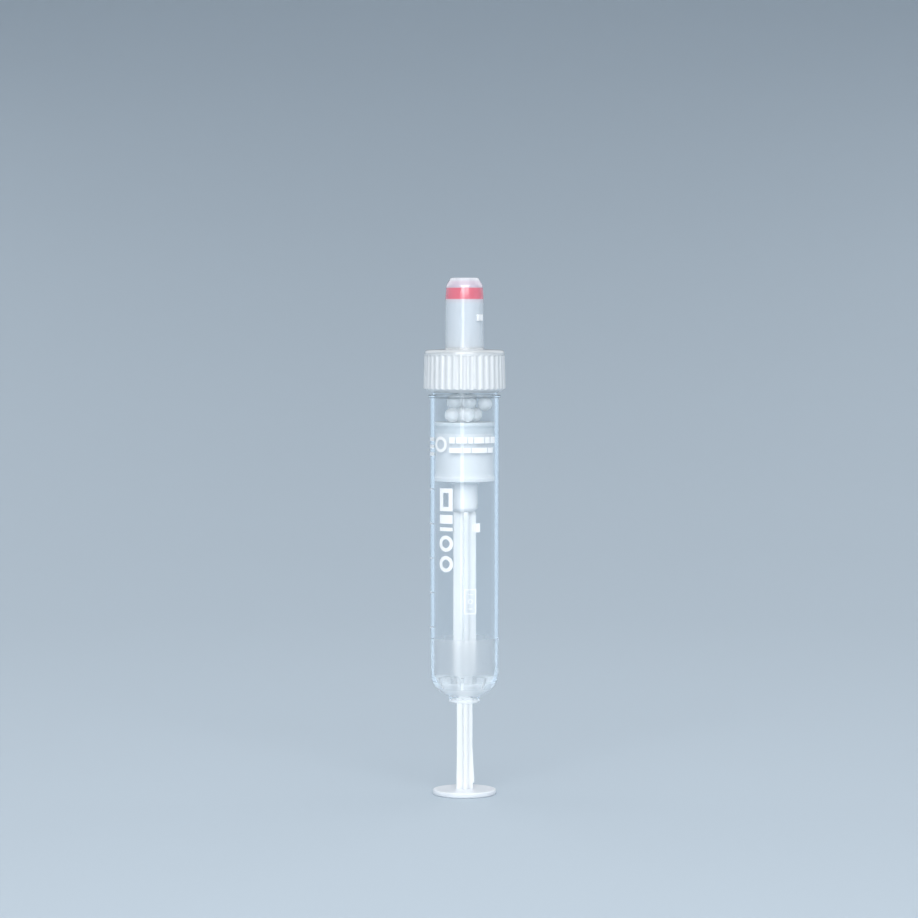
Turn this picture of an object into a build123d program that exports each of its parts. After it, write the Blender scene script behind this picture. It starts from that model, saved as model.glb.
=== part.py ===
from build123d import *
import math
import os

# A syringe-type blood collection tube: a clear barrel with a domed base, a ribbed screw cap
# with a pierceable rubber stopper in its nozzle, and a piston on a plunger rod that is drawn
# out through the base and then snapped off.  Millimetres, +Z up.  The origin is the centre of
# the thumb disc's underside, on which the tube stands, and the front is towards -Y.

# Plunger rod
disc_diameter = 13.7
disc_thickness = 1.15
disc_edge_radius = 0.3
fin_thickness = 0.95
fin_root_radius = 0.3
rod_turn = 8.6            # degrees, how far the cross of fins is turned about Z
shank_width = 3.5         # across the slim fins near the disc
shank_foot_width = 3.7    # the same fins where they run into the disc
shank_flare = 10.0        # height over which the fins widen to the foot
shank_rise = 0.3          # how far the slim fins reach above the dome, the rod pushed in
stem_width = 5.0          # across the wide fins inside the barrel
stem_step_chamfer = 0.6
shoulder_height = 1.1     # rounded end of the wide fins, under the notch
shoulder_bulge = 0.12
neck_width = 4.1          # across the notch where the rod is snapped off
head_diameter = 4.9       # button that snaps into the piston
head_height = 4.0
head_lead_in = 0.7
head_setback = 0.3        # from the piston's rear rim down to the button's foot
barb_length = 7.3
barb_gap = 1.35           # between the barb's end and the disc
barb_height = 0.22        # how far the barb stands out of its fin

# Barrel
base_height = 20.1        # the collar's underside above the ground, the rod pushed in
barrel_length = 75.05     # from the collar's underside to the rim of the neck
bore_diameter = 13.3
wall = 0.85
base_taper_length = 27.0  # the wall thins over this height above the dome
base_taper = 0.12         # and loses this much of its radius
dome_depth = 5.5
crown_radius = 9.0
knuckle_radius = 4.4
collar_wall = 0.42
collar_height = 1.3
collar_drop = 0.65        # how far the collar hangs below the dome's pole
collar_edge_radius = 0.36
stop_rib_count = 8
stop_rib_thickness = 0.7
stop_rib_reach = 2.3      # from the bore's wall towards the axis
stop_rib_start = -50.0    # degrees from the front to the first rib
stop_rib_drop = 0.3       # how far the ribs end below the dome's top
neck_wall = 0.5
neck_length = 8.2         # from the flange's top to the rim
flange_width = 0.375      # how far the flange stands out of the barrel
flange_thickness = 0.55

# Piston
piston_setback = 14.0     # from the neck's rim down to the piston's face
piston_height = 12.8
piston_lip_height = 0.8
piston_waist_depth = 0.3
piston_lip_chamfer = 0.25
rear_cone_drop = 0.5      # the rear face falls this much from its rim to the hub
hub_length = 6.1
hub_diameter = 5.76
hub_chamfer = 0.65
hub_gap = 0.08            # between the hub and the collar's hole
lip_clearance = 0.03
snap_clearance = 0.05

# Screw cap
cap_gap = 0.6             # between the flange and the skirt
skirt_clearance = 0.27    # between the neck and the skirt, where the thread runs
skirt_top_diameter = 17.4
skirt_foot_diameter = 17.84
skirt_foot_rise = 0.9     # height of the slope under the skirt
skirt_rim_width = 0.18
cap_top_thickness = 1.55
cap_top_rise = 0.26
cap_edge_radius = 0.7
grip_count = 36
grip_depth = 0.24
grip_groove_radius = 0.78
grip_top_margin = 1.25    # smooth band between the grooves and the cap's top
plug_length = 3.2
plug_wall = 1.0
plug_lead_in = 0.35
plug_clearance = 0.03
nozzle_diameter = 8.3     # the straight stretch above the lugs
nozzle_root_diameter = 8.38
nozzle_length = 15.33     # above the cap's shoulder
nozzle_bore_diameter = 5.0
nozzle_root_radius = 0.15
tip_height = 3.8          # the slightly slimmer end of the nozzle
tip_root_diameter = 8.08
tip_root_height = 1.0     # height over which the nozzle narrows to the tip's root
tip_diameter = 8.0
tip_cone_height = 1.7     # the blunt cone on the end
tip_cone_width = 0.98
tip_cone_foot_radius = 1.2
tip_edge_radius = 0.3
port_diameter = 4.0       # opening for the needle above the stopper
port_depth = 2.0
lug_height = 1.4
lug_width = 1.7
lug_reach = 0.38          # how far a bayonet lug stands out of the nozzle
lug_drop = 8.63           # from the tip down to the lugs' middle
lug_angle = 50.0          # degrees from the front to the first lug
lug_edge = 0.12
lug_margin = 0.2          # from the lugs up to the straight stretch

# Rubber stopper
stopper_diameter = 6.0
stopper_thickness = 2.5
stopper_plug_diameter = 4.8
stopper_plug_length = 0.9
stopper_dimple_diameter = 2.4
stopper_dimple_depth = 0.4
stopper_dimple_taper = 30.0
stopper_clearance = 0.04

# Activator beads
bead_diameter = 3.2
bead_gap = 0.05
bead_rows = 4
beads_per_row = 2
bead_row_start = -0.81    # the leftmost bead of the first row, in bead diameters
roll_step = 15            # degrees between the spots a bead may roll off to
# Where the loose beads lie on the first layer, across and in depth, in bead diameters
loose_beads = [
    (-0.72, -0.81),
    (0.31, -0.81),
    (1.35, -0.69),
    (-0.63, 0.19),
    (0.38, 0.19),
    (-0.16, 1.13),
    (-0.19, -0.31),
]

# Heights and radii that several pieces share
bore_radius = bore_diameter / 2
barrel_radius = bore_radius + wall
neck_radius = bore_radius + neck_wall
pole_height = base_height + collar_drop
dome_top = pole_height + dome_depth
rim_height = base_height + barrel_length
flange_top = rim_height - neck_length
flange_foot = flange_top - flange_thickness
face_height = rim_height - piston_setback
piston_rim = face_height - piston_height
hub_foot = piston_rim - rear_cone_drop - hub_length
hub_radius = hub_diameter / 2
hub_hole_radius = hub_radius + hub_gap
neck_rod_radius = neck_width / 2
head_radius = head_diameter / 2
head_foot = piston_rim - head_setback
head_top = head_foot + head_height
nozzle_radius = nozzle_diameter / 2
nozzle_root = nozzle_root_diameter / 2
cap_shoulder = rim_height + cap_top_thickness
tip_top = cap_shoulder + cap_top_rise + nozzle_length
seat_top = tip_top - port_depth
seat_height = stopper_thickness + stopper_clearance
seat_radius = stopper_diameter / 2 + stopper_clearance
front = -90.0

os.makedirs("parts", exist_ok=True)


def round_bottomed_section(radius, pole, crown, knuckle, wall_points):
    """Half section of a round-bottomed body: crown, knuckle, then up the wall's points."""
    foot = (radius, pole + crown - math.sqrt(crown**2 - radius**2))
    halfway = math.asin(radius / crown) / 2
    on_crown = (crown * math.sin(halfway), pole + crown - crown * math.cos(halfway))
    with BuildSketch(Plane.XZ) as section:
        with BuildLine():
            ThreePointArc((0, pole), on_crown, foot)
            Polyline(foot, *wall_points, (0, wall_points[-1][1]), (0, pole))
        make_face()
        fillet(section.vertices().sort_by_distance(Vector(*foot))[0], knuckle)
    return section.sketch


# Barrel: one clear moulding, with a flange under the neck and an open collar in its base
outer_section = round_bottomed_section(
    barrel_radius - base_taper,
    pole_height,
    crown_radius,
    knuckle_radius,
    [
        (barrel_radius - base_taper, dome_top),
        (barrel_radius, dome_top + base_taper_length),
        (barrel_radius, flange_foot),
        (barrel_radius + flange_width, flange_foot),
        (barrel_radius + flange_width, flange_top),
        (neck_radius, flange_top),
        (neck_radius, rim_height),
    ],
)
bore_section = round_bottomed_section(
    bore_radius,
    pole_height + wall,
    crown_radius - wall,
    knuckle_radius - wall,
    [(bore_radius, rim_height)],
)

# The ribs that the piston parks on stand in the dome, so they are left out of its hollow
rib_top = dome_top - stop_rib_drop
rib_length = 2 * stop_rib_reach
with BuildPart() as bore:
    revolve(bore_section, axis=Axis.Z)
    with BuildSketch(Plane.XY.offset(base_height)):
        with PolarLocations(bore_radius, stop_rib_count, start_angle=front + stop_rib_start):
            Rectangle(rib_length, stop_rib_thickness)
    extrude(amount=rib_top - base_height, mode=Mode.SUBTRACT)

with BuildPart() as tube:
    revolve(outer_section, axis=Axis.Z)
    with BuildSketch(Plane.XY.offset(base_height)):
        Circle(hub_hole_radius + collar_wall)
    extrude(amount=collar_height + wall)
    collar_edge = tube.edges().filter_by(GeomType.CIRCLE).sort_by(Axis.Z)[0]
    fillet(collar_edge, collar_edge_radius)
    add(bore.part, mode=Mode.SUBTRACT)
    with BuildSketch(Plane.XY.offset(base_height)):
        Circle(hub_hole_radius)
    extrude(amount=dome_depth, mode=Mode.SUBTRACT)
    fillet(tube.edges().filter_by(GeomType.CIRCLE).group_by(Axis.Z)[-1], neck_wall / 4)
tube.part.label = "tube"
export_step(tube.part, "parts/tube.step")


# Piston: two sealing lips, a slack waist, a coned rear and the hub that takes the rod
lip_radius = bore_radius - lip_clearance
waist_radius = bore_radius - piston_waist_depth
lip_slope = lip_radius - waist_radius
with BuildPart() as piston:
    with BuildSketch(Plane.XZ):
        with BuildLine():
            Polyline(
                (0, hub_foot),
                (hub_radius, hub_foot),
                (hub_radius, piston_rim - rear_cone_drop),
                (lip_radius, piston_rim),
                (lip_radius, piston_rim + piston_lip_height),
                (waist_radius, piston_rim + piston_lip_height + lip_slope),
                (waist_radius, face_height - piston_lip_height - lip_slope),
                (lip_radius, face_height - piston_lip_height),
                (lip_radius, face_height),
                (0, face_height),
                (0, hub_foot),
            )
        make_face()
    revolve(axis=Axis.Z)
    chamfer(piston.edges().filter_by(GeomType.CIRCLE).group_by(Axis.Z)[-1], piston_lip_chamfer)
    chamfer(piston.edges().filter_by(GeomType.CIRCLE).group_by(Axis.Z)[0], hub_chamfer)
    # The blind socket: a narrow throat, then the chamber that the rod's button snaps into
    with BuildSketch(Plane.XY.offset(hub_foot)):
        Circle(neck_rod_radius + snap_clearance)
    extrude(amount=head_foot - hub_foot, mode=Mode.SUBTRACT)
    with BuildSketch(Plane.XY.offset(head_foot)):
        Circle(head_radius + snap_clearance)
    extrude(amount=head_height, mode=Mode.SUBTRACT)
piston.part.label = "piston"
export_step(piston.part, "parts/piston.step")


# Plunger rod: a cross of fins turned down to its outline, on a thumb disc
shank_top = dome_top + shank_rise
with BuildPart() as rod:
    with BuildSketch(Plane.XY.offset(disc_thickness)) as cross:
        Rectangle(stem_width, fin_thickness, rotation=rod_turn)
        Rectangle(fin_thickness, stem_width, rotation=rod_turn)
        inner_corners = cross.vertices().group_by(lambda corner: corner.center().length)[0]
        fillet(inner_corners, fin_root_radius)
    extrude(amount=head_foot - disc_thickness)
    with BuildSketch(Plane.XZ):
        with BuildLine():
            Polyline(
                (neck_rod_radius, head_foot),
                (0, head_foot),
                (0, disc_thickness),
                (shank_foot_width / 2, disc_thickness),
                (shank_width / 2, disc_thickness + shank_flare),
                (shank_width / 2, shank_top - stem_step_chamfer),
                (stem_width / 2, shank_top),
                (stem_width / 2, hub_foot - shoulder_height),
            )
            shoulder_foot = (stem_width / 2, hub_foot - shoulder_height)
            shoulder_reach = (stem_width / 2 + 2 * neck_rod_radius) / 3 + shoulder_bulge
            shoulder_middle = (shoulder_reach, hub_foot - shoulder_height / 3)
            ThreePointArc(shoulder_foot, shoulder_middle, (neck_rod_radius, hub_foot))
            Line((neck_rod_radius, hub_foot), (neck_rod_radius, head_foot))
        make_face()
    revolve(axis=Axis.Z, mode=Mode.INTERSECT)
    # The button in the piston
    with BuildSketch(Plane.XY.offset(head_foot)):
        Circle(head_radius)
    extrude(amount=head_height)
    chamfer(rod.edges().filter_by(GeomType.CIRCLE).group_by(Axis.Z)[-1], head_lead_in)
    # The thumb disc
    with BuildSketch(Plane.XY):
        Circle(disc_diameter / 2)
    extrude(amount=disc_thickness)
    disc_rims = rod.edges().filter_by(GeomType.CIRCLE).filter_by(
        lambda edge: abs(edge.radius - disc_diameter / 2) < 0.01
    )
    fillet(disc_rims, disc_edge_radius)
    # The barb that clicks past the collar when the rod is pushed home
    barb_plane = Plane.XZ.rotated((0, 0, rod_turn))
    with BuildSketch(barb_plane):
        barb_foot = disc_thickness + barb_gap
        barb_inside = shank_width / 2 - barb_height
        with BuildLine():
            Polyline(
                (barb_inside, barb_foot),
                (shank_foot_width / 2 + barb_height, barb_foot),
                (shank_foot_width / 2 + barb_height, barb_foot + barb_length / 8),
                (shank_width / 2, barb_foot + barb_length),
                (barb_inside, barb_foot + barb_length),
                (barb_inside, barb_foot),
            )
        make_face()
    extrude(amount=fin_thickness / 2, both=True)
rod.part.label = "plunger_rod"
export_step(rod.part, "parts/plunger_rod.step")


# One bayonet lug, lying along +X with its foot sunk into the nozzle's wall
lug_depth = lug_reach + (nozzle_radius - nozzle_bore_diameter / 2) / 2
with BuildPart() as lug:
    with BuildSketch(Plane.YZ):
        Rectangle(lug_width, lug_height)
    extrude(amount=lug_depth)
    chamfer(lug.faces().sort_by(Axis.X)[-1].edges(), lug_edge)


# Screw cap: grip skirt, sealing plug and nozzle in one moulding
skirt_inner = neck_radius + skirt_clearance
skirt_foot = flange_top + cap_gap
plug_radius = bore_radius - plug_clearance
plug_foot = rim_height - plug_length
nozzle_bore = nozzle_bore_diameter / 2
tip_face_radius = tip_diameter / 2 - tip_cone_width
with BuildPart() as cap:
    with BuildSketch(Plane.XZ) as cap_section:
        with BuildLine():
            Polyline(
                (skirt_inner, skirt_foot),
                (skirt_inner + skirt_rim_width, skirt_foot),
                (skirt_foot_diameter / 2, skirt_foot + skirt_foot_rise),
                (skirt_top_diameter / 2, cap_shoulder),
                (nozzle_root, cap_shoulder + cap_top_rise),
                (nozzle_radius, tip_top - lug_drop + lug_height / 2 + lug_margin),
                (nozzle_radius, tip_top - tip_height),
                (tip_root_diameter / 2, tip_top - tip_height + tip_root_height),
                (tip_diameter / 2, tip_top - tip_cone_height),
                (tip_face_radius, tip_top),
                (port_diameter / 2, tip_top),
                (port_diameter / 2, seat_top),
                (seat_radius, seat_top),
                (seat_radius, seat_top - seat_height),
                (nozzle_bore, seat_top - seat_height),
                (nozzle_bore, rim_height),
                (plug_radius - plug_wall, rim_height),
                (plug_radius - plug_wall, plug_foot),
                (plug_radius - plug_lead_in, plug_foot),
                (plug_radius, plug_foot + 2 * plug_lead_in),
                (plug_radius, rim_height),
                (skirt_inner, rim_height),
                (skirt_inner, skirt_foot),
            )
        make_face()
        rounded = {
            cap_edge_radius: (skirt_top_diameter / 2, cap_shoulder),
            tip_cone_foot_radius: (tip_diameter / 2, tip_top - tip_cone_height),
            tip_edge_radius: (tip_face_radius, tip_top),
            nozzle_root_radius: (nozzle_root, cap_shoulder + cap_top_rise),
        }
        for edge_radius, corner in rounded.items():
            fillet(cap_section.vertices().sort_by_distance(Vector(*corner))[0], edge_radius)
    revolve(axis=Axis.Z)
    # Grip: shallow round grooves that follow the skirt's draft and run out through its foot
    grip_top = cap_shoulder - grip_top_margin
    skirt_height = cap_shoulder - skirt_foot - skirt_foot_rise
    draft = (skirt_foot_diameter - skirt_top_diameter) / 2 / skirt_height
    groove_reach = skirt_foot_diameter / 2 + draft * skirt_foot_rise + grip_groove_radius - grip_depth
    groove_foot = Vector(groove_reach, 0, skirt_foot)
    groove_plane = Plane(origin=groove_foot, x_dir=(0, 1, 0), z_dir=(-draft, 0, 1))
    with BuildSketch(groove_plane) as groove_round:
        Circle(grip_groove_radius)
    groove = extrude(groove_round.sketch, amount=grip_top - skirt_foot, mode=Mode.PRIVATE)
    with PolarLocations(0, grip_count):
        add(groove, mode=Mode.SUBTRACT)
    # Bayonet lugs
    with PolarLocations(nozzle_radius + lug_reach - lug_depth, 2, start_angle=front + lug_angle):
        with Locations((0, 0, tip_top - lug_drop)):
            add(lug.part)
cap.part.label = "screw_cap"
export_step(cap.part, "parts/screw_cap.step")


# Rubber stopper: a flange held in the nozzle's seat and a plug below it
stopper_foot = seat_top - seat_height
with BuildPart() as stopper:
    with BuildSketch(Plane.XY.offset(stopper_foot)):
        Circle(stopper_diameter / 2)
    extrude(amount=stopper_thickness)
    with BuildSketch(Plane.XY.offset(stopper_foot)):
        Circle(stopper_plug_diameter / 2)
    extrude(amount=-stopper_plug_length)
    fillet(stopper.edges().filter_by(GeomType.CIRCLE).group_by(Axis.Z)[0], stopper_plug_length / 3)
    with BuildSketch(Plane.XY.offset(stopper_foot + stopper_thickness)):
        Circle(stopper_dimple_diameter / 2)
    extrude(amount=-stopper_dimple_depth, taper=stopper_dimple_taper, mode=Mode.SUBTRACT)
stopper.part.label = "membrane_stopper"
export_step(stopper.part, "parts/membrane_stopper.step")


# Activator beads: a first layer in staggered rows on the piston's face, then loose ones.
# Each is kept clear of the bore and let down until it touches the piston or a bead below.
# One that would come to lie in the cap's plug rolls off to the lowest spot in the heap.
bead_radius = bead_diameter / 2
bead_pitch = bead_diameter + bead_gap
row_pitch = bead_pitch * math.sqrt(3) / 2
free_radius = bore_radius - bead_radius - bead_gap
bead_places = []
for row in range(bead_rows):
    for place in range(beads_per_row):
        across = bead_row_start * bead_diameter + (place + 0.5 * (row % 2)) * bead_pitch
        in_depth = (row - (bead_rows - 1) / 2) * row_pitch
        bead_places.append((across, in_depth))
for across, in_depth in loose_beads:
    bead_places.append((across * bead_diameter, in_depth * bead_diameter))

bead_centres = []


def resting_height(spot):
    """Height at which the centre of a bead let down at a spot comes to rest."""
    height = face_height + bead_radius
    for below in bead_centres:
        apart = math.hypot(spot[0] - below[0], spot[1] - below[1])
        if apart < bead_diameter:
            height = max(height, below[2] + math.sqrt(bead_diameter**2 - apart**2))
    return height


roll_off_spots = [(0, 0)]
for turn in range(0, 360, roll_step):
    for share in (0.5, 1):
        reach = share * free_radius
        heading = math.radians(turn)
        roll_off_spots.append((reach * math.cos(heading), reach * math.sin(heading)))
for place in bead_places:
    pulled_in = min(1, free_radius / math.hypot(*place))
    spot = (place[0] * pulled_in, place[1] * pulled_in)
    if resting_height(spot) + bead_radius > plug_foot:
        spot = min(roll_off_spots, key=resting_height)
    bead_centres.append((*spot, resting_height(spot)))

for number, centre in enumerate(bead_centres, start=1):
    with BuildPart() as bead:
        with Locations(centre):
            Sphere(bead_radius)
    bead.part.label = f"activator_bead_{number:02d}"
    export_step(bead.part, f"parts/{bead.part.label}.step")
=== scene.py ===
import math
import random

import bmesh
import bpy
from mathutils import Matrix, Vector


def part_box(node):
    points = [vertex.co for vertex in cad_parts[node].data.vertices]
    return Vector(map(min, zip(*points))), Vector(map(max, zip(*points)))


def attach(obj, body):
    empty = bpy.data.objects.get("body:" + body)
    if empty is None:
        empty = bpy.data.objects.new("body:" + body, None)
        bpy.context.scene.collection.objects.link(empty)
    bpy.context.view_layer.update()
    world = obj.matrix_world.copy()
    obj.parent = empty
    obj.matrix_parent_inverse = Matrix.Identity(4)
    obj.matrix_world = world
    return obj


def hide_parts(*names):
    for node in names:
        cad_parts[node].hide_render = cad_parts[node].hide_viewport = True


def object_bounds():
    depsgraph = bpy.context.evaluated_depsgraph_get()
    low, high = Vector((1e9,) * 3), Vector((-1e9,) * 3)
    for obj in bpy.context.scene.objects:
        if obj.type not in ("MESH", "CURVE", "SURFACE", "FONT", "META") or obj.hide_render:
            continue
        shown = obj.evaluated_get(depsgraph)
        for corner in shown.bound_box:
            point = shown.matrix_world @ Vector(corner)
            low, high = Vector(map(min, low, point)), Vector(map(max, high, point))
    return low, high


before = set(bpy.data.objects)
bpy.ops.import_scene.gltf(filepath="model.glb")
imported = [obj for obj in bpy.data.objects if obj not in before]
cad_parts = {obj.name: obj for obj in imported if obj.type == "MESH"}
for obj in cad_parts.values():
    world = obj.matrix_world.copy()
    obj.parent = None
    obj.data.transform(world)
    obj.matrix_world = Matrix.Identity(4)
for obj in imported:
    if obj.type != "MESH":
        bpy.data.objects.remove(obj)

cad_low, cad_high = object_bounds()
mm = 0.001


# ---- Barrel ---------------------------------------------------------------------------------
# The barrel is one injection moulding in clear polypropylene: a straight wall over a domed
# base with stop ribs, an open collar for the rod below, and a flange and a threaded neck above.
tube_low, tube_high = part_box("tube")
collar_foot = tube_low.z
neck_rim = tube_high.z
bore_radius = 6.65 * mm
wall = 0.85 * mm
barrel_radius = bore_radius + wall
flange_radius = tube_high.x
flange_top = neck_rim - 8.2 * mm
flange_thickness = 0.55 * mm
neck_radius = bore_radius + 0.5 * mm
hub_hole = 2.96 * mm
collar_radius = hub_hole + 0.42 * mm
collar_drop = 0.65 * mm
wall_taper = 0.12 * mm
wall_taper_height = 27 * mm
crown_radius = 9.0 * mm
knuckle_radius = 4.4 * mm
rib_count = 8
rib_thickness = 0.7 * mm
rib_reach = 2.3 * mm
rib_start = math.radians(-140)
thread_pitch = 3 * mm
thread_sink = 0.08 * mm
frost_top = collar_foot + 14.1 * mm
clear_ior = 1.49
gloss_roughness = 0.08
matt_roughness = 0.34
weld_distance = 0.0005 * mm


def dome(pole, crown, knuckle, wall_radius, from_radius):
    """Outline of a domed base, from from_radius out along the crown and round the knuckle."""
    crown_centre = pole + crown
    knuckle_in = wall_radius - knuckle
    knuckle_drop = math.sqrt((crown - knuckle) ** 2 - knuckle_in**2)
    meet = math.acos(knuckle_in / (crown - knuckle))
    start = math.acos(from_radius / crown)
    crown_steps, knuckle_steps = 8, 12
    points = []
    for part in range(crown_steps + 1):
        turn = start + (meet - start) * part / crown_steps
        points.append((crown * math.cos(turn), crown_centre - crown * math.sin(turn)))
    knuckle_centre = crown_centre - knuckle_drop
    for part in range(1, knuckle_steps + 1):
        turn = meet * (1 - part / knuckle_steps)
        reach = knuckle_in + knuckle * math.cos(turn)
        points.append((reach, knuckle_centre - knuckle * math.sin(turn)))
    return points


def turned(outline, steps=144, roundings=6, closed=True):
    """A bmesh turned on the tube's axis from outline points (radius, height, rounding)."""
    shape = bmesh.new()
    corners = [shape.verts.new((point[0], 0, point[1])) for point in outline]
    ends = corners[1:] + corners[:1] if closed else corners[1:]
    for here, there in zip(corners, ends):
        shape.edges.new((here, there))
    for corner, point in zip(corners, outline):
        if len(point) == 3:
            bmesh.ops.bevel(
                shape, geom=[corner], offset=point[2], segments=roundings, profile=0.5,
                affect="VERTICES", material=-1,
            )
    bmesh.ops.spin(
        shape, geom=shape.verts[:] + shape.edges[:], cent=(0, 0, 0), axis=(0, 0, 1),
        angle=math.tau, steps=steps, use_merge=True,
    )
    bmesh.ops.remove_doubles(shape, verts=shape.verts[:], dist=weld_distance)
    bmesh.ops.recalc_face_normals(shape, faces=shape.faces[:])
    return shape


def thread_ridge(root, crest, foot, turns):
    """A right-handed ridge that winds up the axis from foot and runs out at both ends."""
    steps = 72
    run_out = steps / 6
    least_share = 0.05
    half_root = 0.55 * mm
    half_crest = 0.2 * mm
    section = [(root, -half_root), (crest, -half_crest), (crest, half_crest), (root, half_root)]
    shape = bmesh.new()
    corners = [shape.verts.new((radius, 0, foot + height)) for radius, height in section]
    start_face = shape.faces.new(corners)
    count = round(turns * steps)
    bmesh.ops.spin(
        shape, geom=[start_face] + start_face.edges[:] + corners, cent=(0, 0, 0), axis=(0, 0, 1),
        dvec=(0, 0, thread_pitch / steps), angle=count / steps * math.tau, steps=count,
    )
    shape.verts.ensure_lookup_table()
    for ring in range(count + 1):
        share = max(min(1, ring / run_out, (count - ring) / run_out), least_share)
        for vert in shape.verts[len(section) * ring:len(section) * (ring + 1)]:
            radius = vert.co.xy.length
            if abs(radius - crest) < abs(radius - root):
                vert.co.xy *= (root + (crest - root) * share) / radius
    bmesh.ops.recalc_face_normals(shape, faces=shape.faces[:])
    return shape


def slab(outline, thickness):
    """A bmesh cut out along an outline of points (radius, height), centred across the X axis."""
    shape = bmesh.new()
    side = shape.faces.new([shape.verts.new((x, -thickness / 2, z)) for x, z in outline])
    geometry = [side, *side.edges, *side.verts]
    grown = bmesh.ops.extrude_face_region(shape, geom=geometry)["geom"]
    far_verts = [part for part in grown if isinstance(part, bmesh.types.BMVert)]
    bmesh.ops.translate(shape, vec=(0, thickness, 0), verts=far_verts)
    bmesh.ops.recalc_face_normals(shape, faces=shape.faces[:])
    return shape


def soften(shape, edges, offset, segments=2):
    """Rounds edges of the shape."""
    bmesh.ops.bevel(
        shape, geom=edges, offset=offset, segments=segments, profile=0.5, affect="EDGES",
        material=-1,
    )


def turn_about_axis(shape, turn):
    """Turns the whole shape about the tube's axis."""
    matrix = Matrix.Rotation(turn, 3, "Z")
    bmesh.ops.rotate(shape, cent=(0, 0, 0), matrix=matrix, verts=shape.verts)


def fused(base, extras):
    """The closed shape base made one with the closed shapes that stand in its wall."""
    pieces = []
    for shape in [base] + extras:
        mesh = bpy.data.meshes.new("loose")
        shape.to_mesh(mesh)
        shape.free()
        pieces.append(bpy.data.objects.new("loose", mesh))
        bpy.context.scene.collection.objects.link(pieces[-1])
    for extra in pieces[1:]:
        union = pieces[0].modifiers.new("union", "BOOLEAN")
        union.operation = "UNION"
        union.solver = "EXACT"
        union.object = extra
    whole = bmesh.new()
    whole.from_object(pieces[0], bpy.context.evaluated_depsgraph_get())
    for piece in pieces:
        bpy.data.meshes.remove(piece.data)
    bmesh.ops.remove_doubles(whole, verts=whole.verts[:], dist=weld_distance)
    return whole


def finished(name, shape, body, material, crease=35):
    """Makes the bmesh a piece that rides on a body, smooth except over sharp edges. The shading
    of a rounded edge is kept off the long walls beside it."""
    mesh = bpy.data.meshes.new(name)
    shape.to_mesh(mesh)
    shape.free()
    mesh.shade_smooth()
    mesh.set_sharp_from_angle(angle=math.radians(crease))
    piece = bpy.data.objects.new(name, mesh)
    bpy.context.scene.collection.objects.link(piece)
    piece.data.materials.append(material)
    level = piece.modifiers.new("level_normals", "WEIGHTED_NORMAL")
    level.keep_sharp = True
    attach(piece, body)
    return piece


def new_material(name):
    """A material with its nodes, its links and its Principled shader."""
    material = bpy.data.materials.new(name)
    material.use_nodes = True
    nodes, links = material.node_tree.nodes, material.node_tree.links
    return material, nodes, links, nodes["Principled BSDF"]


def point_on(nodes):
    """The point on the object, in metres."""
    return nodes.new("ShaderNodeTexCoord").outputs["Object"]


def height_of(nodes, links, where):
    """How high the point lies above the ground."""
    split = nodes.new("ShaderNodeSeparateXYZ")
    links.new(where, split.inputs[0])
    return split.outputs["Z"]


def distance_from_axis(nodes, links, where):
    """How far the point lies from the tube's axis."""
    flat = nodes.new("ShaderNodeVectorMath")
    flat.operation = "MULTIPLY"
    flat.inputs[1].default_value = (1, 1, 0)
    links.new(where, flat.inputs[0])
    length = nodes.new("ShaderNodeVectorMath")
    length.operation = "LENGTH"
    links.new(flat.outputs[0], length.inputs[0])
    return length.outputs["Value"]


def math_node(nodes, links, operation, first, second):
    """The result of an operation on two values, each a number or a socket."""
    node = nodes.new("ShaderNodeMath")
    node.operation = operation
    for socket, value in zip(node.inputs, (first, second)):
        if isinstance(value, (int, float)):
            socket.default_value = value
        else:
            links.new(value, socket)
    return node.outputs[0]


def ramp_between(nodes, links, value, low, high, at_low=0.0, at_high=1.0):
    """A smooth step from at_low to at_high as value goes from low to high."""
    step = nodes.new("ShaderNodeMapRange")
    step.interpolation_type = "SMOOTHSTEP"
    links.new(value, step.inputs["Value"])
    step.inputs["From Min"].default_value = low
    step.inputs["From Max"].default_value = high
    step.inputs["To Min"].default_value = at_low
    step.inputs["To Max"].default_value = at_high
    return step.outputs["Result"]


def noise(nodes, links, where, scale, detail=3.0, stretch=(1, 1, 1)):
    """Noise with features about 1/scale metres across, stretched along an axis if asked."""
    mapping = nodes.new("ShaderNodeMapping")
    mapping.inputs["Scale"].default_value = stretch
    links.new(where, mapping.inputs["Vector"])
    texture = nodes.new("ShaderNodeTexNoise")
    texture.inputs["Scale"].default_value = scale
    texture.inputs["Detail"].default_value = detail
    links.new(mapping.outputs[0], texture.inputs["Vector"])
    return texture.outputs["Fac"]


def tint(nodes, links, share, first, second):
    """The colour that goes from first to second, each a colour or a socket, with share."""
    mix = nodes.new("ShaderNodeMix")
    mix.data_type = "RGBA"
    links.new(share, mix.inputs[0])
    for socket, value in ((mix.inputs[6], first), (mix.inputs[7], second)):
        if isinstance(value, tuple):
            socket.default_value = (*value, 1)
        else:
            links.new(value, socket)
    return mix.outputs[2]


def bump(nodes, links, shader, height, depth, strength):
    """Raises and sinks the shading by up to depth where height goes up and down."""
    node = nodes.new("ShaderNodeBump")
    node.inputs["Distance"].default_value = depth
    node.inputs["Strength"].default_value = strength
    links.new(height, node.inputs["Height"])
    links.new(node.outputs[0], shader.inputs["Normal"])


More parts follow.
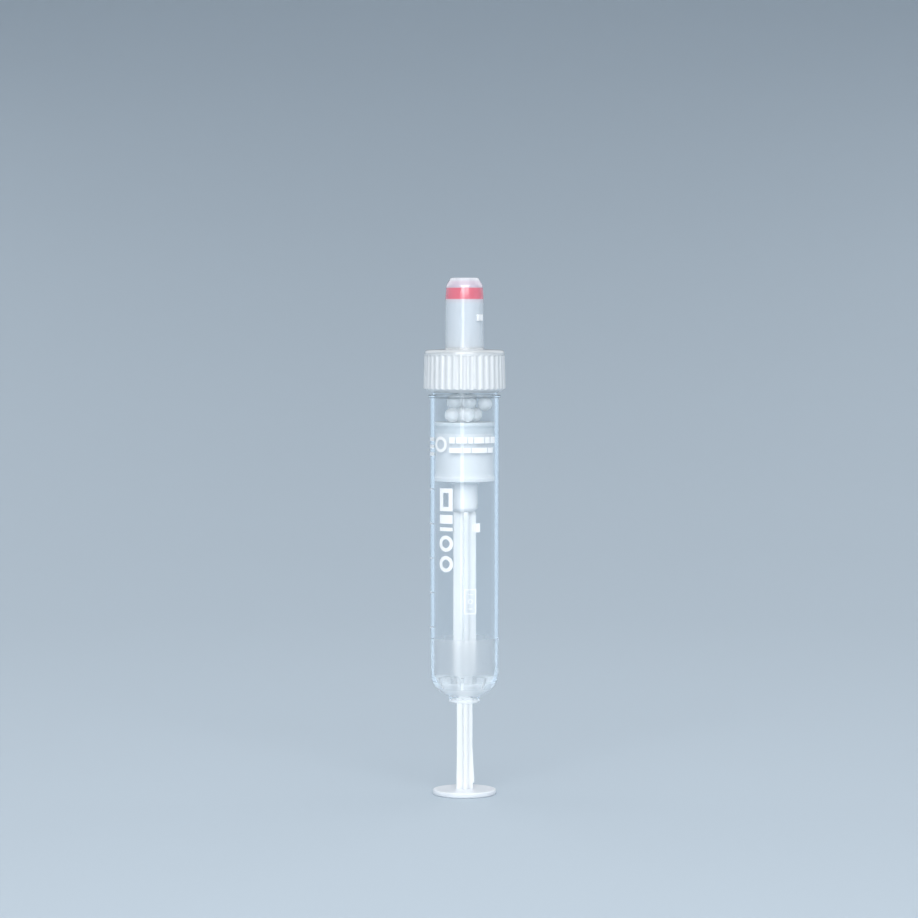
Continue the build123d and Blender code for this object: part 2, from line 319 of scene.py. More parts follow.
def let_lamps_through(nodes, links, shader, shade):
    """Light on its way to and from a matt surface passes a clear wall straight on, in a shade
    that is a colour or a socket."""
    path = nodes.new("ShaderNodeLightPath")
    clear = nodes.new("ShaderNodeBsdfTransparent")
    if isinstance(shade, tuple):
        clear.inputs["Color"].default_value = (*shade, 1)
    else:
        links.new(shade, clear.inputs["Color"])
    mix = nodes.new("ShaderNodeMixShader")
    spread = math_node(nodes, links, "GREATER_THAN", path.outputs["Diffuse Depth"], 0.5)
    from_matt = math_node(nodes, links, "MAXIMUM", path.outputs["Is Shadow Ray"], spread)
    links.new(from_matt, mix.inputs["Fac"])
    links.new(shader.outputs[0], mix.inputs[1])
    links.new(clear.outputs[0], mix.inputs[2])
    links.new(mix.outputs[0], nodes["Material Output"].inputs["Surface"])


def clear_polypropylene():
    """Clear wall with faint flow lines, polished outside and spark-finished low in the bore, above
    the polished dome. Light that the bore turns back inside the wall isn't scattered there. The
    stop ribs and the collar are milkier than the wall."""
    material, nodes, links, shader = new_material("clear_polypropylene")
    shader.inputs["Base Color"].default_value = (0.965, 0.98, 0.99, 1)
    shader.inputs["IOR"].default_value = clear_ior
    shader.inputs["Sheen Weight"].default_value = 0.25
    shader.inputs["Sheen Roughness"].default_value = 0.1
    shader.inputs["Sheen Tint"].default_value = (0.85, 0.93, 1.0, 1)

    def step(value, low, high, at_low=0.0, at_high=1.0):
        return ramp_between(nodes, links, value, low, high, at_low, at_high)

    def combine(operation, first, second):
        return math_node(nodes, links, operation, first, second)

    where = point_on(nodes)
    height = height_of(nodes, links, where)
    radius = distance_from_axis(nodes, links, where)
    in_bore = combine("LESS_THAN", radius, bore_radius + 0.2 * mm)
    low_down = step(height, frost_top, frost_top + 0.15 * mm, 1.0, 0.0)
    above_dome = step(height, rib_top - 1.0 * mm, rib_top + 1.2 * mm)
    frost = combine("MULTIPLY", in_bore, combine("MULTIPLY", low_down, above_dome))

    glance = nodes.new("ShaderNodeLayerWeight").outputs["Facing"]
    critical = 1 - math.sqrt(1 - 1 / clear_ior**2)
    rougher = matt_roughness - gloss_roughness
    scatter = step(glance, critical - 0.008, critical + 0.003, rougher, 0.0)
    roughness = combine("ADD", combine("MULTIPLY", frost, scatter), gloss_roughness)
    links.new(roughness, shader.inputs["Roughness"])

    collar_haze = step(height, pole - 0.2 * mm, pole + 0.4 * mm, 0.55, 0.0)
    bore_haze = step(frost, 0, 1, 0.0, 0.12)
    past_rib_edge = step(radius, rib_in - 0.4 * mm, rib_in)
    off_wall = step(radius, bore_radius - 0.4 * mm, bore_radius - 0.2 * mm, 1.0, 0.0)
    below_rib_top = step(height, rib_top + 0.1 * mm, rib_top + 0.3 * mm, 0.5, 0.0)
    rib_haze = combine("MULTIPLY", combine("MULTIPLY", past_rib_edge, off_wall), below_rib_top)
    haze = combine("ADD", combine("ADD", collar_haze, bore_haze), rib_haze)
    links.new(combine("SUBTRACT", 1.0, haze), shader.inputs["Transmission Weight"])

    flow = noise(nodes, links, where, 260, 2, (1, 1, 0.12))
    bump(nodes, links, shader, flow, 0.02 * mm, 0.25)
    shade = tint(nodes, links, frost, (0.975, 0.985, 0.99), (0.64, 0.66, 0.68))
    let_lamps_through(nodes, links, shader, shade)
    return material


pole = collar_foot + collar_drop
outside = dome(pole, crown_radius, knuckle_radius, barrel_radius - wall_taper, collar_radius)
inside = dome(pole + wall, crown_radius - wall, knuckle_radius - wall, bore_radius, hub_hole)
dome_top = outside[-1][1]
barrel = turned(
    [(hub_hole, collar_foot), (collar_radius, collar_foot, 0.36 * mm)]
    + outside
    + [
        (barrel_radius, dome_top + wall_taper_height),
        (barrel_radius, flange_top - flange_thickness, 0.06 * mm),
        (flange_radius, flange_top - flange_thickness, 0.14 * mm),
        (flange_radius, flange_top, 0.14 * mm),
        (neck_radius, flange_top, 0.08 * mm),
        (neck_radius, neck_rim, 0.12 * mm),
        (bore_radius, neck_rim, 0.12 * mm),
    ]
    + inside[::-1]
)

mid_wall = bore_radius + (wall - wall_taper) / 2
rib_top = dome_top - 0.3 * mm
rib_in = bore_radius - rib_reach
in_wall = dome(
    pole + wall / 2, crown_radius - wall / 2, knuckle_radius - wall / 2, mid_wall, rib_in
)
rib_outline = [point for point in in_wall if point[1] < rib_top - 0.2 * mm]
rib_outline += [(mid_wall - 0.02 * mm, rib_top), (rib_in, rib_top)]
neck_thread_root = neck_radius - thread_sink
neck_thread_crest = neck_radius + 0.19 * mm
mouldings = [thread_ridge(neck_thread_root, neck_thread_crest, flange_top + 2.0 * mm, 1.6)]
for number in range(rib_count):
    rib = slab(rib_outline, rib_thickness)
    free_edges = [
        edge
        for edge in rib.edges
        if all(
            vert.co.z > rib_top - 0.01 * mm or vert.co.x < rib_in + 0.01 * mm
            for vert in edge.verts
        )
    ]
    soften(rib, free_edges, 0.1 * mm)
    turn_about_axis(rib, rib_start + number * math.tau / rib_count)
    mouldings.append(rib)

clear = clear_polypropylene()
barrel_piece = finished("clear_barrel", fused(barrel, mouldings), "barrel", clear)
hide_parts("tube")


# ---- Print on the barrel --------------------------------------------------------------------
# The barrel is screen printed in opaque white ink. The fields here are plain bars, rings,
# frames and a graduation, about where the real print has its fields, and stand for no words.
ink_thickness = 0.02 * mm
ink_lift = 0.004 * mm


def bar(shape, left, right, low, high):
    """A flat bar between two angles from the front, in degrees, and two heights."""
    width = math.radians(right - left) * barrel_radius
    cuts = max(2, round((right - left) / 2.5))
    made = bmesh.ops.create_grid(shape, x_segments=cuts, y_segments=1, size=0.5)["verts"]
    bmesh.ops.rotate(shape, cent=(0, 0, 0), matrix=Matrix.Rotation(math.pi / 2, 3, "X"), verts=made)
    bmesh.ops.scale(shape, vec=(width, 1, high - low), verts=made)
    centre = (math.radians(left + right) / 2 * barrel_radius, 0, (low + high) / 2)
    bmesh.ops.translate(shape, vec=centre, verts=made)


def frame_of_bars(shape, left, right, low, high, line):
    """Four bars round a rectangle."""
    line_angle = math.degrees(line / barrel_radius)
    bar(shape, left, right, high - line, high)
    bar(shape, left, right, low, low + line)
    bar(shape, left, left + line_angle, low + line, high - line)
    bar(shape, right - line_angle, right, low + line, high - line)


def ring(shape, turn, height, inner, outer):
    """A flat ring round a point at a turn from the front, in degrees, and a height."""
    middle = Vector((math.radians(turn) * barrel_radius, 0, height))
    edge = [shape.verts.new(middle + Vector((reach, 0, 0))) for reach in (inner, outer)]
    bmesh.ops.spin(
        shape, geom=edge + [shape.edges.new(edge)], cent=middle, axis=(0, 1, 0), angle=math.tau,
        steps=48, use_merge=True,
    )


def wrapped(shape):
    """Gives the flat print its thickness and lays it round the barrel."""
    grown = bmesh.ops.extrude_face_region(shape, geom=shape.faces[:])["geom"]
    front_verts = [part for part in grown if isinstance(part, bmesh.types.BMVert)]
    bmesh.ops.translate(shape, vec=(0, ink_thickness, 0), verts=front_verts)
    for vert in shape.verts:
        turn = vert.co.x / barrel_radius
        radius = barrel_radius + ink_lift + vert.co.y
        vert.co = Vector((radius * math.sin(turn), -radius * math.cos(turn), vert.co.z))
    bmesh.ops.recalc_face_normals(shape, faces=shape.faces[:])
    return shape


def white_ink():
    """Thick screen ink, a little uneven, with a soft gloss."""
    material, nodes, links, shader = new_material("white_ink")
    patch = noise(nodes, links, point_on(nodes), 1500, 3)
    ink_colour = tint(nodes, links, patch, (0.97, 0.98, 0.98), (1.0, 1.0, 1.0))
    links.new(ink_colour, shader.inputs["Base Color"])
    shader.inputs["Roughness"].default_value = 0.38
    bump(nodes, links, shader, patch, 0.01 * mm, 0.5)
    return material


# Where the fields of the print lie: turns in degrees from the front, and heights
upper_row = [(-26, -16), (-14, 4), (6, 14), (16, 34), (36, 46), (48, 60)]
lower_row = [(-26, -4), (-2, 10), (12, 40), (42, 54)]
column_left, column_right = -45, -20
column_middle = (column_left + column_right) / 2
label_left, label_right = -0.7, 19.5
label_bar_left, label_bar_right = 6, 13
side_block_low = 73.85 * mm
side_block_height = 0.8 * mm
scale_top = 66.65 * mm
scale_step = 7.5 * mm
half_mark = 0.12 * mm

prints = bmesh.new()
ring(prints, -43.5, 76.45 * mm, 1.05 * mm, 1.7 * mm)
for left, right in upper_row:
    bar(prints, left, right, 76.7 * mm, 78.05 * mm)
for left, right in lower_row:
    bar(prints, left, right, 74.65 * mm, 75.75 * mm)
frame_of_bars(prints, column_left, column_right, 62.1 * mm, 67.0 * mm, 0.95 * mm)
bar(prints, column_left, column_right, 59.4 * mm, 61.3 * mm)
bar(prints, column_left, column_right, 57.8 * mm, 58.6 * mm)
ring(prints, column_middle, 55.1 * mm, 0.95 * mm, 1.75 * mm)
ring(prints, column_middle, 50.7 * mm, 0.95 * mm, 1.75 * mm)
bar(prints, 18, 26.3, 57.6 * mm, 59.5 * mm)
frame_of_bars(prints, 12.5, 17, 57.8 * mm, 59.3 * mm, 0.2 * mm)
frame_of_bars(prints, label_left, label_right, 39.95 * mm, 45.4 * mm, 0.26 * mm)
bar(prints, label_bar_left, label_bar_right, 41.0 * mm, 41.25 * mm)
bar(prints, label_bar_left, label_bar_right, 44.1 * mm, 44.35 * mm)
ring(prints, (label_bar_left + label_bar_right) / 2, 42.7 * mm, 0.34 * mm, 0.56 * mm)
for number in range(3):
    foot = side_block_low + 2 * number * side_block_height
    bar(prints, -82, -62, foot, foot + side_block_height)
for number in range(5):
    mark = scale_top - number * scale_step
    bar(prints, -84, -70, mark - half_mark, mark + half_mark)
ink = white_ink()
print_piece = finished("barrel_print", wrapped(prints), "barrel", ink)


# ---- Piston ---------------------------------------------------------------------------------
# The piston is moulded in milky polyethylene: a lip at each end seals in the bore, the waist
# between them stays clear of it, and the hub below holds the button of the rod.
piston_low, piston_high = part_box("piston")
hub_foot = piston_low.z
piston_face = piston_high.z
lip_radius = piston_high.x
hub_radius = 2.88 * mm
piston_rim = piston_face - 12.8 * mm
waist_radius = bore_radius - 0.3 * mm
lip_height = 0.8 * mm
lip_slope = lip_radius - waist_radius
hub_chamfer = 0.65 * mm
throat_radius = 2.1 * mm
chamber_radius = 2.5 * mm
button_foot = piston_rim - 0.3 * mm
button_top = button_foot + 4.0 * mm


def milky_piston():
    """Milky polyethylene with the faint streaks of its flow, a slightly darker face end, and
    painted light on the hub: a whiter colour that lifts the shade the fins cast on it."""
    material, nodes, links, shader = new_material("milky_piston")
    where = point_on(nodes)
    height = height_of(nodes, links, where)
    streak = noise(nodes, links, where, 420, 3, (1, 1, 0.08))
    body = tint(nodes, links, streak, (0.76, 0.79, 0.82), (0.85, 0.87, 0.88))
    in_face_end = ramp_between(
        nodes, links, height, piston_face - 2.6 * mm, piston_face - 2.3 * mm
    )
    colour = tint(nodes, links, in_face_end, body, (0.68, 0.73, 0.76))
    # Painted light: the hub is made whiter to lift the shade that falls on it.
    painted_light_on_hub = ramp_between(
        nodes, links, height, piston_rim - 0.6 * mm, piston_rim - 0.2 * mm, 1.0, 0.0
    )
    colour = tint(nodes, links, painted_light_on_hub, colour, (0.89, 0.90, 0.91))
    links.new(colour, shader.inputs["Base Color"])
    shader.inputs["Roughness"].default_value = 0.4
    shader.inputs["IOR"].default_value = 1.5
    shader.inputs["Subsurface Weight"].default_value = 0.35
    shader.inputs["Subsurface Radius"].default_value = (1.0, 1.0, 1.0)
    shader.inputs["Subsurface Scale"].default_value = 0.8 * mm
    bump(nodes, links, shader, noise(nodes, links, where, 5000, 2), 0.006 * mm, 0.5)
    return material


piston = turned(
    [
        (0, button_top),
        (chamber_radius, button_top, 0.3 * mm),
        (chamber_radius, button_foot, 0.1 * mm),
        (throat_radius, button_foot, 0.1 * mm),
        (throat_radius, hub_foot, 0.15 * mm),
        (hub_radius - hub_chamfer, hub_foot, 0.12 * mm),
        (hub_radius, hub_foot + hub_chamfer, 0.15 * mm),
        (hub_radius, piston_rim - 0.5 * mm, 0.3 * mm),
        (lip_radius, piston_rim, 0.12 * mm),
        (lip_radius, piston_rim + lip_height, 0.08 * mm),
        (waist_radius, piston_rim + lip_height + lip_slope, 0.6 * mm),
        (waist_radius, piston_face - lip_height - lip_slope, 0.6 * mm),
        (lip_radius, piston_face - lip_height, 0.08 * mm),
        (lip_radius, piston_face, 0.22 * mm),
        (0, piston_face),
    ],
    closed=False,
)
piston_plastic = milky_piston()
piston_piece = finished("piston_with_hub", piston, "plunger", piston_plastic)
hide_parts("piston")


# ---- Plunger rod ----------------------------------------------------------------------------
# The rod is one moulding in white polypropylene: a cross of four fins on a thumb disc, slim
# below the stop shoulder and wide above it, notched under the button where it snaps off.
rod_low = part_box("plunger_rod")[0]
ground = rod_low.z
disc_radius = 6.85 * mm
disc_top = ground + 1.15 * mm
fin_half = 0.475 * mm
fin_root = 0.3 * mm
rod_turn = math.radians(8.6)
shank_foot_radius = 1.85 * mm
shank_radius = 1.75 * mm
shank_flare = 10 * mm
shank_top = dome_top + 0.3 * mm
stem_radius = 2.5 * mm
shoulder = 1.1 * mm
notch_radius = 2.05 * mm
button_radius = 2.45 * mm
button_lead_in = 0.7 * mm
barb_foot = disc_top + 1.35 * mm
barb_length = 7.3 * mm
barb_out = shank_foot_radius + 0.22 * mm
barb_in = shank_radius - 0.3 * mm
off_axis = 2.5 * fin_half


def tip_of_fin(vert, radius):
    """Moves a point on a fin's tip to another radius, along the fin."""
    turn = round(math.atan2(vert.co.y, vert.co.x) / (math.pi / 2)) * math.pi / 2
    along = Vector((math.cos(turn), math.sin(turn), 0))
    across = vert.co.xy.to_3d() - along * vert.co.xy.to_3d().dot(along)
    reach = math.sqrt(radius**2 - across.length_squared)
    vert.co = along * reach + across + Vector((0, 0, vert.co.z))


def cross_of_fins(levels):
    """The four fins, extruded from level to level as their tips go in and out."""
    shape = bmesh.new()
    ring = []
    for fin in range(4):
        turn = Matrix.Rotation(fin * math.pi / 2, 3, "Z")
        for side in (-1, 0, 1):
            ring.append((turn @ Vector((stem_radius, side * fin_half, 0)), True))
        inner = Vector((fin_half + fin_root, fin_half + fin_root, 0))
        for part in range(7):
            swing = math.pi * 3 / 2 - part / 6 * math.pi / 2
            corner = inner + fin_root * Vector((math.cos(swing), math.sin(swing), 0))
            ring.append((turn @ corner, False))
    corners = [shape.verts.new(place) for place, is_tip in ring]
    face = shape.faces.new(corners)
    bmesh.ops.translate(shape, vec=(0, 0, levels[0][0]), verts=corners)
    for vert, (place, is_tip) in zip(corners, ring):
        if is_tip:
            tip_of_fin(vert, levels[0][1])
    heights = [height for height, reach in levels]
    for below, (height, reach) in zip(heights, levels[1:]):
        grown = bmesh.ops.extrude_face_region(shape, geom=[face, *face.edges, *face.verts])["geom"]
        face = next(part for part in grown if isinstance(part, bmesh.types.BMFace))
        bmesh.ops.translate(shape, vec=(0, 0, height - below), verts=face.verts)
        for vert in face.verts:
            if vert.co.xy.length > off_axis:
                tip_of_fin(vert, reach)
    bmesh.ops.recalc_face_normals(shape, faces=shape.faces[:])
    long_edges = [
        edge
        for edge in shape.edges
        if abs(edge.calc_face_angle(0)) > math.radians(50)
        and edge.verts[0].co.xy.length > off_axis
    ]
    bmesh.ops.bevel(
        shape, geom=long_edges, offset=0.09 * mm, segments=2, profile=0.5, affect="EDGES",
        material=-1, clamp_overlap=True,
    )
    turn_about_axis(shape, rod_turn)
    return shape


def white_polypropylene():
    """White, slightly see-through moulding with long flow lines and a fine mould grain."""
    material, nodes, links, shader = new_material("white_polypropylene")
    where = point_on(nodes)
    height = height_of(nodes, links, where)
    streak = noise(nodes, links, where, 700, 3, (1, 1, 0.05))
    stem = tint(nodes, links, streak, (0.87, 0.89, 0.90), (0.94, 0.95, 0.95))
    off_disc = ramp_between(nodes, links, height, disc_top - 0.1 * mm, disc_top + 1.2 * mm)
    colour = tint(nodes, links, off_disc, (0.84, 0.87, 0.91), stem)
    links.new(colour, shader.inputs["Base Color"])
    shader.inputs["Roughness"].default_value = 0.34
    shader.inputs["IOR"].default_value = 1.49
    shader.inputs["Subsurface Weight"].default_value = 0.7
    shader.inputs["Subsurface Radius"].default_value = (1.0, 1.0, 1.0)
    shader.inputs["Subsurface Scale"].default_value = 1.1 * mm
    bump(nodes, links, shader, noise(nodes, links, where, 4000, 2), 0.006 * mm, 0.5)
    return material


levels = [
    (disc_top - 0.2 * mm, shank_foot_radius),
    (disc_top + shank_flare, shank_radius),
    (shank_top - 0.6 * mm, shank_radius),
    (shank_top, stem_radius),
    (hub_foot - shoulder, stem_radius),
]
for part in range(1, 7):
    swing = part / 6 * math.pi / 2
    bulge = stem_radius - (stem_radius - notch_radius) * (1 - math.cos(swing))
    levels.append((hub_foot - shoulder + shoulder * math.sin(swing), bulge))
levels.append((button_foot + 0.2 * mm, notch_radius))
rod = cross_of_fins(levels)
disc = turned(
    [
        (0, ground),
        (disc_radius, ground, 0.3 * mm),
        (disc_radius, disc_top, 0.3 * mm),
        (0, disc_top),
    ],
    closed=False,
)
button = turned(
    [
        (0, button_foot),
        (button_radius, button_foot, 0.1 * mm),
        (button_radius, button_top - button_lead_in, 0.1 * mm),
        (button_radius - button_lead_in, button_top, 0.1 * mm),
        (0, button_top),
    ],
    steps=72,
    closed=False,
)
barb_outline = [
    (barb_in, barb_foot),
    (barb_out, barb_foot),
    (barb_out, barb_foot + barb_length / 8),
    (shank_radius, barb_foot + barb_length),
    (barb_in, barb_foot + barb_length),
]
barb = slab(barb_outline, 2 * fin_half)
soften(barb, barb.edges[:], 0.05 * mm)
turn_about_axis(barb, rod_turn)

rod_plastic = white_polypropylene()
rod_piece = finished("finned_rod", fused(rod, [disc, button, barb]), "plunger", rod_plastic)
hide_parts("plunger_rod")


# ---- Activator beads ------------------------------------------------------------------------
# Small clear polystyrene balls carry the clotting agent. They are poured in loose and lie in
# a heap on the piston's face.
random.seed(7)


def clear_polystyrene():
    """Clear plastic, slightly hazy from its dry coating, with a mottled sheen."""
    material, nodes, links, shader = new_material("clear_polystyrene")
    shader.inputs["Base Color"].default_value = (0.97, 0.98, 0.985, 1)
    shader.inputs["Transmission Weight"].default_value = 0.6
    shader.inputs["IOR"].default_value = 1.5
    coat = noise(nodes, links, point_on(nodes), 900, 4)
    links.new(ramp_between(nodes, links, coat, 0.35, 0.65, 0.03, 0.10), shader.inputs["Roughness"])
    bump(nodes, links, shader, coat, 0.03 * mm, 0.3)
    let_lamps_through(nodes, links, shader, (0.90, 0.92, 0.93))
    return material


bead_plastic = clear_polystyrene()
bead_nodes = sorted(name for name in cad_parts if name.startswith("activator_bead"))
for number, node in enumerate(bead_nodes, start=1):
    bead_low, bead_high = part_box(node)
    bead = bmesh.new()
    bmesh.ops.create_icosphere(bead, subdivisions=4, radius=(bead_high.x - bead_low.x) / 2)
    squash = [random.uniform(0.95, 1.0) for side in range(3)]
    bmesh.ops.scale(bead, vec=squash, verts=bead.verts)
    lean = random.uniform(0, math.tau)
    lean_axis = Vector([random.uniform(-1, 1) for side in range(3)])
    leaning = Matrix.Rotation(lean, 3, lean_axis)
    bmesh.ops.rotate(bead, cent=(0, 0, 0), matrix=leaning, verts=bead.verts)
    bmesh.ops.translate(bead, vec=(bead_low + bead_high) / 2, verts=bead.verts)
    bead_piece = finished(f"clear_bead_{number:02d}", bead, "plunger", bead_plastic)
    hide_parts(node)


# ---- Screw cap ------------------------------------------------------------------------------
# The cap is one moulding in milky polyethylene: a ribbed grip skirt with its thread inside, a
# plug that seals in the bore, and a hollow nozzle with two bayonet lugs for the needle holder.
cap_low, cap_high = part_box("screw_cap")
stopper_low, stopper_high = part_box("membrane_stopper")
skirt_foot = cap_low.z
nozzle_tip = cap_high.z
skirt_inner = neck_radius + 0.27 * mm
skirt_foot_radius = 8.92 * mm
skirt_top_radius = 8.7 * mm
slope_height = 0.9 * mm
cap_shoulder = neck_rim + 1.55 * mm
nozzle_foot = cap_shoulder + 0.26 * mm
nozzle_root_radius = 4.19 * mm
nozzle_radius = 4.15 * mm
nozzle_bore = 2.5 * mm
tip_root_radius = 4.04 * mm
tip_radius = 4.0 * mm
tip_face_radius = 3.02 * mm
port_radius = 2.0 * mm
port_foot = nozzle_tip - 2.0 * mm
seat_foot = port_foot - 2.54 * mm
seat_radius = 3.04 * mm
plug_foot = neck_rim - 3.2 * mm
plug_radius = bore_radius - 0.03 * mm
plug_inner = plug_radius - 1.0 * mm
grip_count = 36
grip_depth = 0.24 * mm
groove_round = 0.78 * mm
grip_top = cap_shoulder - 1.25 * mm
steps_per_grip = 16
skirt_narrowing = skirt_foot_radius - skirt_top_radius
lug_middle = nozzle_tip - 8.63 * mm
lug_size = Vector((1.2, 1.7, 1.4)) * mm
lug_reach = nozzle_radius + 0.38 * mm
lug_turn = math.radians(-40)


def groove_depth_at(turn):
    """How far the round groove between two ribs cuts in, at a turn from its middle."""
    centre = skirt_foot_radius + groove_round - grip_depth
    side = centre * math.sin(turn)
    if abs(side) >= groove_round:
        return 0
    depth = skirt_foot_radius - centre * math.cos(turn) + math.sqrt(groove_round**2 - side**2)
    return max(0, depth)


def cut_grip(shape):
    """Sinks the grooves of the grip into the turned skirt."""
    grip = math.tau / grip_count
    draft = skirt_narrowing / (cap_shoulder - skirt_foot - slope_height)
    for vert in shape.verts:
        radius = vert.co.xy.length
        skirt = skirt_foot_radius - draft * (vert.co.z - skirt_foot - slope_height)
        above_grip = vert.co.z > grip_top + 0.01 * mm
        if above_grip or radius < max(skirt - 1.4 * mm, skirt_inner + 0.05 * mm):
            continue
        turn = math.atan2(vert.co.y, vert.co.x)
        bottom = skirt - groove_depth_at(turn - round(turn / grip) * grip)
        if radius > bottom:
            vert.co.xy *= bottom / radius


def milky_polyethylene():
    """Milky cap plastic: whiter in the thick skirt, greyer in the flat top, bluer in the glossier
    nozzle, with painted light on the lugs, and near the tip the red of the stopper painted in as it
    would glow through the wall, with a painted pink glow below it and a painted pinkish tip above
    it."""
    material, nodes, links, shader = new_material("milky_polyethylene")
    where = point_on(nodes)
    height = height_of(nodes, links, where)
    streak = noise(nodes, links, where, 500, 3, (1, 1, 0.15))
    skirt = tint(nodes, links, streak, (0.73, 0.75, 0.76), (0.80, 0.81, 0.815))
    nozzle = tint(nodes, links, streak, (0.63, 0.69, 0.74), (0.69, 0.73, 0.77))
    flat_top = ramp_between(nodes, links, height, grip_top - 0.1 * mm, grip_top + 0.8 * mm)
    colour = tint(nodes, links, flat_top, skirt, (0.60, 0.62, 0.63))
    up_nozzle = ramp_between(nodes, links, height, nozzle_foot - 0.2 * mm, nozzle_foot + 0.8 * mm)
    colour = tint(nodes, links, up_nozzle, colour, nozzle)
    # Painted glow: a pink glow below the stopper, the stopper's red where it shows through the
    # wall, and a pinkish tip above it are painted into the cap's colour.
    painted_pink_glow = ramp_between(
        nodes, links, height, stopper_low.z - 0.5 * mm, stopper_low.z + 1.0 * mm, 0.0, 0.35
    )
    colour = tint(nodes, links, painted_pink_glow, colour, (0.80, 0.54, 0.59))
    red = ramp_between(nodes, links, height, seat_foot - 0.2 * mm, seat_foot + 0.05 * mm)
    colour = tint(nodes, links, red, colour, (0.80, 0.19, 0.25))
    tip = ramp_between(nodes, links, height, port_foot - 0.3 * mm, port_foot - 0.02 * mm)
    colour = tint(nodes, links, tip, colour, (0.66, 0.57, 0.65))
    top = ramp_between(nodes, links, height, nozzle_tip - 1.0 * mm, nozzle_tip - 0.3 * mm)
    colour = tint(nodes, links, top, colour, (0.68, 0.69, 0.74))
    # Painted light: the lugs are made whiter, as their faces catch the lamps.
    radius = distance_from_axis(nodes, links, where)
    outside_nozzle = ramp_between(
        nodes, links, radius, nozzle_radius + 0.04 * mm, nozzle_radius + 0.1 * mm
    )
    painted_light_on_lugs = math_node(nodes, links, "MULTIPLY", outside_nozzle, up_nozzle)
    colour = tint(nodes, links, painted_light_on_lugs, colour, (0.95, 0.96, 0.97))
    links.new(colour, shader.inputs["Base Color"])
    links.new(ramp_between(nodes, links, up_nozzle, 0, 1, 0.28, 0.14), shader.inputs["Roughness"])
    shader.inputs["IOR"].default_value = 1.51
    shader.inputs["Specular IOR Level"].default_value = 0.9
    shader.inputs["Coat Weight"].default_value = 0.9
    shader.inputs["Coat Roughness"].default_value = 0.12
    shader.inputs["Subsurface Weight"].default_value = 0.5
    shader.inputs["Subsurface Radius"].default_value = (1.0, 1.0, 1.0)
    shader.inputs["Subsurface Scale"].default_value = 0.6 * mm
    bump(nodes, links, shader, noise(nodes, links, where, 3500, 2), 0.008 * mm, 0.5)
    return material


cap = turned(
    [
        (skirt_inner, skirt_foot, 0.05 * mm),
        (skirt_inner + 0.18 * mm, skirt_foot, 0.05 * mm),
        (skirt_inner + 0.62 * mm, skirt_foot + 0.3 * slope_height),
        (skirt_inner + 1.06 * mm, skirt_foot + 0.6 * slope_height),
        (skirt_inner + 1.28 * mm, skirt_foot + 0.76 * slope_height),
        (skirt_foot_radius, skirt_foot + slope_height, 0.12 * mm),
        (skirt_foot_radius - skirt_narrowing * 0.875, grip_top),
        (skirt_foot_radius - skirt_narrowing * 0.885, grip_top + 0.1 * mm),
        (skirt_top_radius, cap_shoulder, 0.7 * mm),
        (nozzle_root_radius, nozzle_foot, 0.15 * mm),
        (nozzle_radius, lug_middle + 0.9 * mm),
        (nozzle_radius, nozzle_tip - 3.8 * mm),
        (tip_root_radius, nozzle_tip - 2.8 * mm),
        (tip_radius, nozzle_tip - 1.7 * mm, 0.32 * mm),
        (tip_face_radius, nozzle_tip, 0.17 * mm),
        (port_radius, nozzle_tip, 0.12 * mm),
        (port_radius, port_foot),
        (seat_radius, port_foot),
        (seat_radius, seat_foot),
        (nozzle_bore, seat_foot),
        (nozzle_bore, neck_rim, 0.2 * mm),
        (plug_inner, neck_rim, 0.3 * mm),
        (plug_inner, plug_foot, 0.1 * mm),
        (plug_radius - 0.35 * mm, plug_foot, 0.1 * mm),
        (plug_radius, plug_foot + 0.7 * mm, 0.2 * mm),
        (plug_radius, neck_rim, 0.05 * mm),
        (skirt_inner, neck_rim, 0.1 * mm),
    ],
    steps=grip_count * steps_per_grip,
)
cut_grip(cap)
cap_thread_root = skirt_inner + thread_sink
cap_thread_crest = skirt_inner - 0.2 * mm
cap_mouldings = [thread_ridge(cap_thread_root, cap_thread_crest, flange_top + 3.5 * mm, 1.3)]
for side in range(2):
    lug = bmesh.new()
    bmesh.ops.create_cube(lug, size=1)
    bmesh.ops.scale(lug, vec=lug_size, verts=lug.verts)
    soften(lug, lug.edges[:], 0.12 * mm, segments=3)
    bmesh.ops.translate(lug, vec=(lug_reach - lug_size.x / 2, 0, lug_middle), verts=lug.verts)
    turn_about_axis(lug, lug_turn + side * math.pi)
    cap_mouldings.append(lug)

cap_plastic = milky_polyethylene()
cap_piece = finished("ribbed_cap", fused(cap, cap_mouldings), "cap", cap_plastic)
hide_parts("screw_cap")


# ---- Rubber stopper -------------------------------------------------------------------------
# The stopper is moulded in soft red rubber and snapped into the nozzle's seat. The needle
# pierces it through the port, and it closes again when the needle is drawn out.
stopper_radius = 3.0 * mm
stopper_plug_radius = 2.4 * mm
stopper_step = stopper_low.z + 0.9 * mm
dimple_radius = 1.2 * mm
dimple_foot = stopper_high.z - 0.4 * mm


def red_rubber():
    """Matt dusted rubber with a fine mould texture."""
    material, nodes, links, shader = new_material("red_rubber")
    dust = noise(nodes, links, point_on(nodes), 1800, 4)
    colour = tint(nodes, links, dust, (0.55, 0.035, 0.05), (0.66, 0.08, 0.09))
    links.new(colour, shader.inputs["Base Color"])
    shader.inputs["Roughness"].default_value = 0.62
    bump(nodes, links, shader, dust, 0.02 * mm, 0.5)
    return material


stopper = turned(
    [
        (0, stopper_low.z),
        (stopper_plug_radius, stopper_low.z, 0.3 * mm),
        (stopper_plug_radius, stopper_step),
        (stopper_radius, stopper_step, 0.1 * mm),
        (stopper_radius, stopper_high.z, 0.1 * mm),
        (dimple_radius, stopper_high.z, 0.1 * mm),
        (dimple_radius - 0.23 * mm, dimple_foot, 0.1 * mm),
        (0, dimple_foot),
    ],
    steps=96,
    closed=False,
)
rubber = red_rubber()
stopper_piece = finished("red_stopper", stopper, "stopper", rubber)
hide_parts("membrane_stopper")


